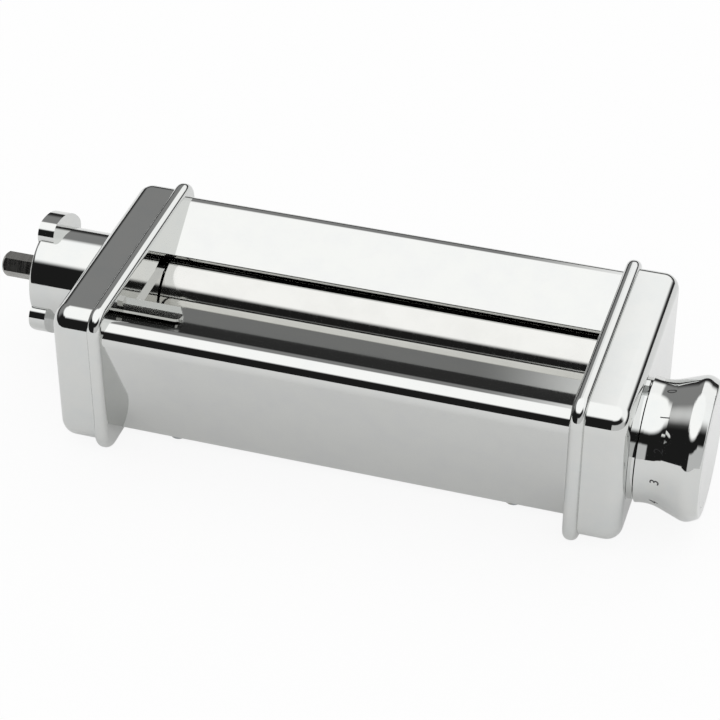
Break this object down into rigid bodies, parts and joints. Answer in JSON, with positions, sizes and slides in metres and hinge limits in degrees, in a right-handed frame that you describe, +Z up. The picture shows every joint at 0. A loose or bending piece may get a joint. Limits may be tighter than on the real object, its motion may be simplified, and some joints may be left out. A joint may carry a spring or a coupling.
{
  "type": "pasta roller attachment",
  "caption": "Roller attachment for a stand mixer that presses dough into sheets: geared rollers in a chromed body, bayonet drive hub at one end, thickness dial at the other.",
  "frame": {"origin": "under the middle of the whole machine, on the surface that the feet of the end frames stand on", "axes": "+X along the rollers from the drive hub to the dial, +Y from the front cover to the back cover, +Z up"},
  "size_m": [0.2658, 0.0936, 0.058],
  "materials": {
    "chrome_plate": "bright chrome plate on cast zinc",
    "bright_sheet": "chrome-plated bent steel sheet",
    "roller_steel": "ground and polished steel",
    "plain_steel": "turned bare steel",
    "gear_steel": "cut steel, lightly oiled",
    "stainless_strip": "polished stainless strip",
    "screw_steel": "zinc-plated steel",
    "spring_steel": "dark spring steel",
    "bronze": "sintered bronze, oiled"
  },
  "bodies": {
    "housing": {"left_end_frame": "chrome_plate", "right_end_frame": "chrome_plate", "left_end_cap": "chrome_plate", "right_end_cap": "chrome_plate", "back_cover": "bright_sheet", "front_cover": "bright_sheet", "tie_rods": "plain_steel", "standoffs": "plain_steel", "tie_rod_screws": "screw_steel", "gear_plate": "plain_steel", "gear_plate_screws": "screw_steel", "cover_screws": "screw_steel", "hub": "chrome_plate", "hub_bush": "bronze", "hub_screws": "screw_steel", "rear_bush_left": "bronze", "rear_bush_right": "bronze", "spindle_bush_left": "bronze", "spindle_sleeve": "bronze", "index_ring": "chrome_plate", "index_pin": "plain_steel", "nip_guard_left": "stainless_strip", "nip_guard_right": "stainless_strip", "dough_guide": "stainless_strip", "rear_scraper": "stainless_strip"},
    "drive_line": {"rear_roller": "roller_steel", "drive_shaft": "plain_steel", "rear_journal": "plain_steel", "rear_journal_clip": "spring_steel", "drive_gear_key": "plain_steel", "drive_gear": "gear_steel"},
    "spindle": {"eccentric_spindle": "plain_steel", "spindle_clip": "spring_steel", "knob_washer": "plain_steel", "knob_screw": "screw_steel", "knob_spring": "spring_steel"},
    "knob": {"knob": "chrome_plate", "knob_face": "chrome_plate"},
    "front_scraper": {"front_scraper": "stainless_strip"},
    "front_roller": {"front_roller": "roller_steel", "front_neck_left": "plain_steel", "front_neck_right": "plain_steel", "driven_gear_key": "plain_steel", "driven_gear": "gear_steel"}
  },
  "joints": [
    {"name": "drive_spin", "type": "hinge", "parent": "housing", "child": "drive_line", "pos_m": [0.01055, 0.01588, 0.0275], "axis": [1, 0, 0], "continuous": true},
    {"name": "dial_turn", "type": "hinge", "parent": "housing", "child": "spindle", "pos_m": [0.01055, -0.01588, 0.0275], "axis": [-1, 0, 0], "range_deg": [0, 180]},
    {"name": "knob_pull", "type": "slide", "parent": "spindle", "child": "knob", "axis": [1, 0, 0], "range_m": [0, 0.004], "stiffness_N_per_m": 1500, "springref_m": -0.004, "deforming": ["knob_spring"]},
    {"name": "scraper_hang", "type": "hinge", "parent": "spindle", "child": "front_scraper", "pos_m": [0.01055, -0.01713, 0.0275], "axis": [-1, 0, 0], "range_deg": [-180, 0]},
    {"name": "front_spin", "type": "hinge", "parent": "front_scraper", "child": "front_roller", "pos_m": [0.01055, -0.01713, 0.0275], "axis": [1, 0, 0], "continuous": true}
  ],
  "couplings": [
    {"joint": "scraper_hang", "follows": "dial_turn", "ratio": -1},
    {"joint": "front_spin", "follows": "drive_spin", "ratio": -1}
  ]
}
